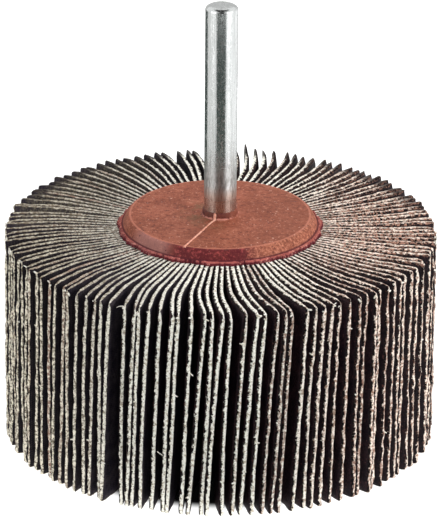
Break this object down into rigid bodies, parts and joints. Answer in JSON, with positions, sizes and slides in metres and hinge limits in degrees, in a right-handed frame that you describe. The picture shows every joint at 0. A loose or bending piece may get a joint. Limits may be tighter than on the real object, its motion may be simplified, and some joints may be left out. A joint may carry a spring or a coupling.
{
  "type": "mounted flap wheel",
  "caption": "Flap wheel on a plain steel shank: abrasive cloth flaps stand on edge round a cast resin core, for grinding and blending in a drill or die grinder.",
  "frame": {"origin": "on the wheel's axis, in the plane of the flap ends that it stands on", "axes": "+Z along the shank, from the flap ends towards the shank's free end; the wheel is round about Z, so X and Y are free, and -Y faces the viewer of the picture"},
  "size_m": [0.0799, 0.08, 0.084],
  "materials": {
    "steel": "bright ground steel",
    "resin": "cast resin, brick red, satin",
    "abrasive_cloth": "brown abrasive grain on cream cloth, cut edges bare"
  },
  "bodies": {
    "root": {"shank": "steel", "resin_core": "resin", "flap_pack_01": "abrasive_cloth", "flap_pack_02": "abrasive_cloth", "flap_pack_03": "abrasive_cloth", "flap_pack_04": "abrasive_cloth", "flap_pack_05": "abrasive_cloth", "flap_pack_06": "abrasive_cloth", "flap_pack_07": "abrasive_cloth", "flap_pack_08": "abrasive_cloth", "flap_pack_09": "abrasive_cloth", "flap_pack_10": "abrasive_cloth", "flap_pack_11": "abrasive_cloth", "flap_pack_12": "abrasive_cloth", "flap_pack_13": "abrasive_cloth", "flap_pack_14": "abrasive_cloth", "flap_pack_15": "abrasive_cloth", "flap_pack_16": "abrasive_cloth", "flap_pack_17": "abrasive_cloth", "flap_pack_18": "abrasive_cloth", "flap_pack_19": "abrasive_cloth", "flap_pack_20": "abrasive_cloth", "flap_pack_21": "abrasive_cloth", "flap_pack_22": "abrasive_cloth", "flap_pack_23": "abrasive_cloth", "flap_pack_24": "abrasive_cloth", "flap_pack_25": "abrasive_cloth", "flap_pack_26": "abrasive_cloth", "flap_pack_27": "abrasive_cloth", "flap_pack_28": "abrasive_cloth", "flap_pack_29": "abrasive_cloth", "flap_pack_30": "abrasive_cloth", "flap_pack_31": "abrasive_cloth", "flap_pack_32": "abrasive_cloth", "flap_pack_33": "abrasive_cloth", "flap_pack_34": "abrasive_cloth", "flap_pack_35": "abrasive_cloth", "flap_pack_36": "abrasive_cloth", "flap_pack_37": "abrasive_cloth", "flap_pack_38": "abrasive_cloth", "flap_pack_39": "abrasive_cloth", "flap_pack_40": "abrasive_cloth", "flap_pack_41": "abrasive_cloth", "flap_pack_42": "abrasive_cloth"}
  },
  "joints": []
}
